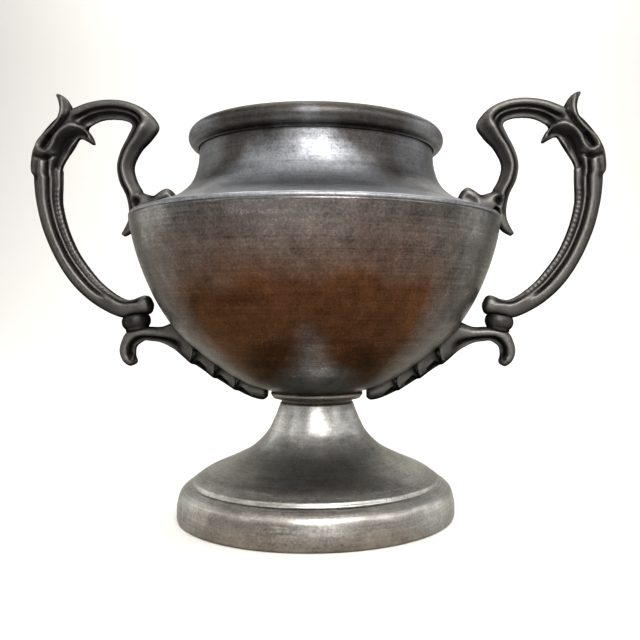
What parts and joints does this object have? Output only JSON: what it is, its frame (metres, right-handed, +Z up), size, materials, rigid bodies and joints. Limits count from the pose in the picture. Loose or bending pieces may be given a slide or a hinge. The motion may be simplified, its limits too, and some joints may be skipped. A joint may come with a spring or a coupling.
{
  "type": "cup trophy",
  "caption": "Footed cup trophy with a wide bowl, a narrow neck with a rolled rim, and a scrolled handle on each side that forks onto the shoulder.",
  "frame": {"origin": "on the cup's axis, at the surface it stands on", "axes": "+X along the line through the two handles, +Y to the back of the cup, +Z up along the axis of the bowl"},
  "size_m": [0.2126, 0.1342, 0.1554],
  "materials": {
    "spun_pewter": "aged satin pewter with fine turned lines",
    "cast_pewter": "darkened satin cast pewter, black in the hollows",
    "fixing_steel": "dull plain steel"
  },
  "bodies": {
    "root": {"bowl_shell": "spun_pewter", "neck_shell": "spun_pewter", "collar": "spun_pewter", "foot_shell": "spun_pewter", "foot_stud": "fixing_steel", "foot_washer": "fixing_steel", "foot_nut": "fixing_steel", "right_handle_arm": "cast_pewter", "right_handle_bracket": "cast_pewter", "right_knuckle_band": "cast_pewter", "right_knuckle_dowel": "fixing_steel", "left_handle_arm": "cast_pewter", "left_handle_bracket": "cast_pewter", "left_knuckle_band": "cast_pewter", "left_knuckle_dowel": "fixing_steel"}
  },
  "joints": []
}
